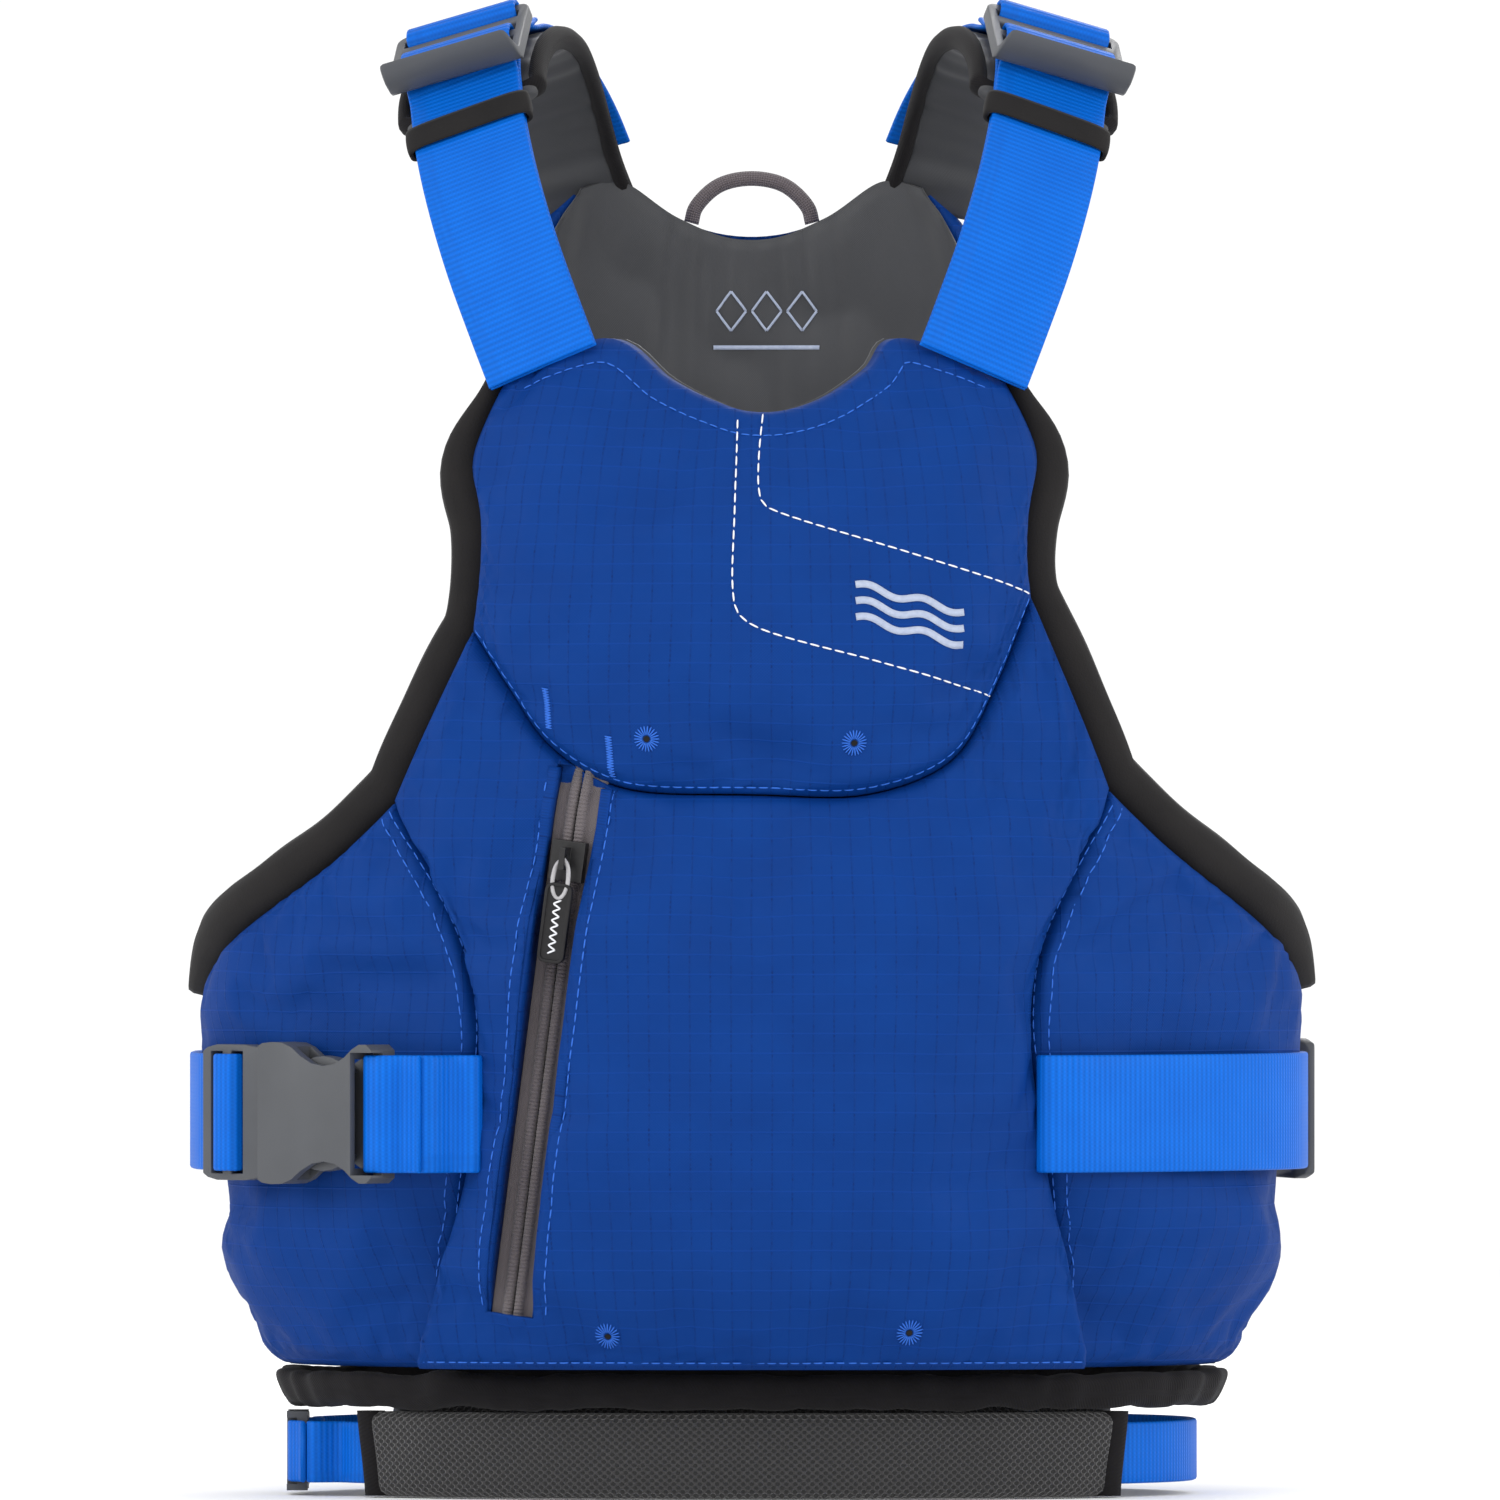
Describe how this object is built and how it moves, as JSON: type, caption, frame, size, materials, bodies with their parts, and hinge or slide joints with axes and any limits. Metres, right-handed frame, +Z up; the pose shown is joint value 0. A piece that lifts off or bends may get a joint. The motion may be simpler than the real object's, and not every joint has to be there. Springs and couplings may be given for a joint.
{
  "type": "buoyancy vest",
  "caption": "Foam-filled paddling buoyancy vest with adjustable shoulder and waist webbing, side-release buckles and a zipped chest pocket",
  "frame": {"origin": "on the floor under the middle of the vest", "axes": "+Z up, -Y the wearer's front, -X the wearer's right"},
  "size_m": [0.3722, 0.2394, 0.4879],
  "materials": {
    "ripstop": "ripstop nylon",
    "webbing": "woven webbing",
    "lining": "plain weave",
    "neoprene": "fabric-faced neoprene and binding",
    "mesh": "spacer mesh",
    "foam": "closed-cell foam",
    "acetal": "moulded, lightly textured",
    "zip": "woven tape and nylon coil",
    "rubber": "moulded",
    "cord": "braided"
  },
  "bodies": {
    "vest": {"armhole_edging_left": "neoprene", "armhole_edging_right": "neoprene", "back_cover_lower": "ripstop", "back_cover_upper": "ripstop", "back_foam_lower": "foam", "back_foam_upper": "foam", "back_lining": "lining", "belt_buckle": "acetal", "belt_end_left": "neoprene", "belt_end_right": "neoprene", "belt_pad_back": "mesh", "belt_pad_front": "mesh", "belt_webbing_back": "webbing", "belt_webbing_left": "webbing", "belt_webbing_right": "webbing", "chest_cover": "ripstop", "chest_foam": "foam", "front_cover": "ripstop", "front_foam": "foam", "front_lining": "lining", "hem_binding_back": "neoprene", "hem_binding_front": "neoprene", "shoulder_hanger_left": "webbing", "shoulder_hanger_right": "webbing", "shoulder_pad_left": "neoprene", "shoulder_pad_right": "neoprene", "shoulder_strap_left": "webbing", "shoulder_strap_right": "webbing", "side_mesh_left": "mesh", "side_mesh_right": "mesh", "strap_keeper_left": "neoprene", "strap_keeper_right": "neoprene", "waist_buckle": "acetal", "waist_hanger_left": "webbing", "waist_strap_left": "webbing", "waist_strap_right": "webbing", "waist_webbing_right": "webbing", "wing_cover_left": "ripstop", "wing_cover_right": "ripstop", "wing_foam_left": "foam", "wing_foam_right": "foam", "zip_chain_left": "zip", "zip_chain_right": "zip", "zip_tape_left": "zip", "zip_tape_right": "zip"},
    "slider": {"zip_slider": "acetal"},
    "pull": {"zip_pull": "rubber"},
    "waist_latch": {"waist_latch": "acetal"},
    "waist_arm_upper": {"waist_latch_arm_upper": "acetal"},
    "waist_arm_lower": {"waist_latch_arm_lower": "acetal"},
    "belt_latch": {"belt_latch": "acetal"},
    "belt_arm_upper": {"belt_latch_arm_upper": "acetal"},
    "belt_arm_lower": {"belt_latch_arm_lower": "acetal"},
    "lock_right": {"shoulder_lock_right": "acetal"},
    "lock_left": {"shoulder_lock_left": "acetal"},
    "waist_lock": {"waist_lock": "acetal"},
    "hang_loop": {"hang_loop": "cord"}
  },
  "joints": [
    {"name": "zip_slide", "type": "slide", "parent": "vest", "child": "slider", "axis": [-0.1262, 0.0498, -0.9908], "range_m": [0, 0.135]},
    {"name": "pull_swing", "type": "hinge", "parent": "slider", "child": "pull", "pos_m": [-0.06376, -0.11689, 0.20755], "axis": [-0.9615, 0.2397, 0.1345], "range_deg": [0, 150]},
    {"name": "waist_latch_slide", "type": "slide", "parent": "vest", "child": "waist_latch", "axis": [-0.7525, 0.6586, 0], "range_m": [0, 0.032], "deforming": ["waist_webbing_right", "waist_latch_arm_upper", "waist_latch_arm_lower"]},
    {"name": "waist_arm_upper_squeeze", "type": "hinge", "parent": "waist_latch", "child": "waist_arm_upper", "pos_m": [-0.15936, -0.07726, 0.1119], "axis": [-0.6586, -0.7525, 0], "range_deg": [0, 8], "stiffness_Nm_per_rad": 0.05},
    {"name": "waist_arm_lower_squeeze", "type": "hinge", "parent": "waist_latch", "child": "waist_arm_lower", "pos_m": [-0.15936, -0.07726, 0.1381], "axis": [0.6586, 0.7525, 0], "range_deg": [0, 8], "stiffness_Nm_per_rad": 0.05},
    {"name": "belt_latch_slide", "type": "slide", "parent": "vest", "child": "belt_latch", "axis": [0, 1, 0], "range_m": [0, 0.017], "deforming": ["belt_webbing_back", "belt_latch_arm_upper", "belt_latch_arm_lower"]},
    {"name": "belt_arm_upper_squeeze", "type": "hinge", "parent": "belt_latch", "child": "belt_arm_upper", "pos_m": [-0.15126, 0.0001, 0.00721], "axis": [-1, 0, 0], "range_deg": [0, 8], "stiffness_Nm_per_rad": 0.05},
    {"name": "belt_arm_lower_squeeze", "type": "hinge", "parent": "belt_latch", "child": "belt_arm_lower", "pos_m": [-0.15126, 0.0001, 0.02079], "axis": [1, 0, 0], "range_deg": [0, 8], "stiffness_Nm_per_rad": 0.05},
    {"name": "lock_right_tilt", "type": "hinge", "parent": "vest", "child": "lock_right", "pos_m": [-0.09656, -0.0147, 0.47786], "axis": [-0.9358, 0.2294, -0.2676], "range_deg": [0, 25], "stiffness_Nm_per_rad": 0.02, "deforming": ["shoulder_strap_right", "shoulder_hanger_right"]},
    {"name": "lock_left_tilt", "type": "hinge", "parent": "vest", "child": "lock_left", "pos_m": [0.09456, -0.0147, 0.47786], "axis": [-0.9358, -0.2294, 0.2676], "range_deg": [0, 25], "stiffness_Nm_per_rad": 0.02, "deforming": ["shoulder_strap_left", "shoulder_hanger_left"]},
    {"name": "waist_lock_tilt", "type": "hinge", "parent": "vest", "child": "waist_lock", "pos_m": [0.16977, 0.05353, 0.125], "axis": [0, 0, 1], "range_deg": [0, 25], "stiffness_Nm_per_rad": 0.02, "deforming": ["waist_strap_left", "waist_hanger_left"]},
    {"name": "hang_loop_swing", "type": "hinge", "parent": "vest", "child": "hang_loop", "pos_m": [-0.003, 0.08865, 0.4145], "axis": [1, 0, 0], "range_deg": [-15, 15], "stiffness_Nm_per_rad": 0.02}
  ]
}
